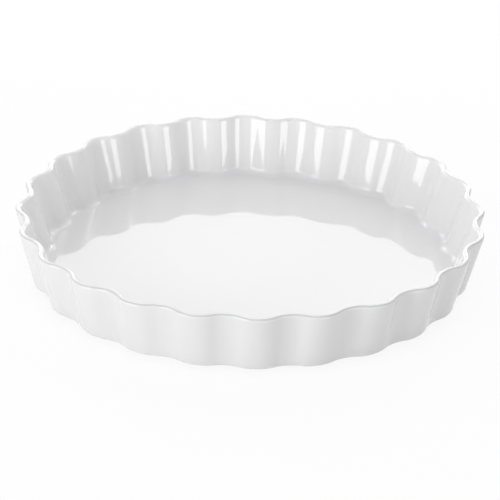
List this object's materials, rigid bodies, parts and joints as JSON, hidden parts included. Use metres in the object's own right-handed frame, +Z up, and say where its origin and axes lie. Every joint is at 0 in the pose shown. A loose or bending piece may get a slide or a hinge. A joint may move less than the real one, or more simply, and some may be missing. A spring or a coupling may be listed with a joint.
{
  "type": "quiche dish",
  "caption": "Round shallow quiche dish in white glazed porcelain with a fluted, outward-leaning wall, rounded rim, flat floor and bare foot, for baking and serving tarts.",
  "frame": {"origin": "centre of the foot, on the dish's axis, at the level of the table it stands on", "axes": "+Z up along the dish's axis; a crest of the flutes lies on each of +X, +Y, -X and -Y; the picture looks from the -Y side, from above"},
  "size_m": [0.28, 0.28, 0.0395],
  "materials": {
    "bare_porcelain": "matt, unglazed",
    "white_glaze": "glossy"
  },
  "bodies": {
    "root": {"porcelain_body": "bare_porcelain", "glaze_coat": "white_glaze", "underside_glaze": "white_glaze"}
  },
  "joints": []
}
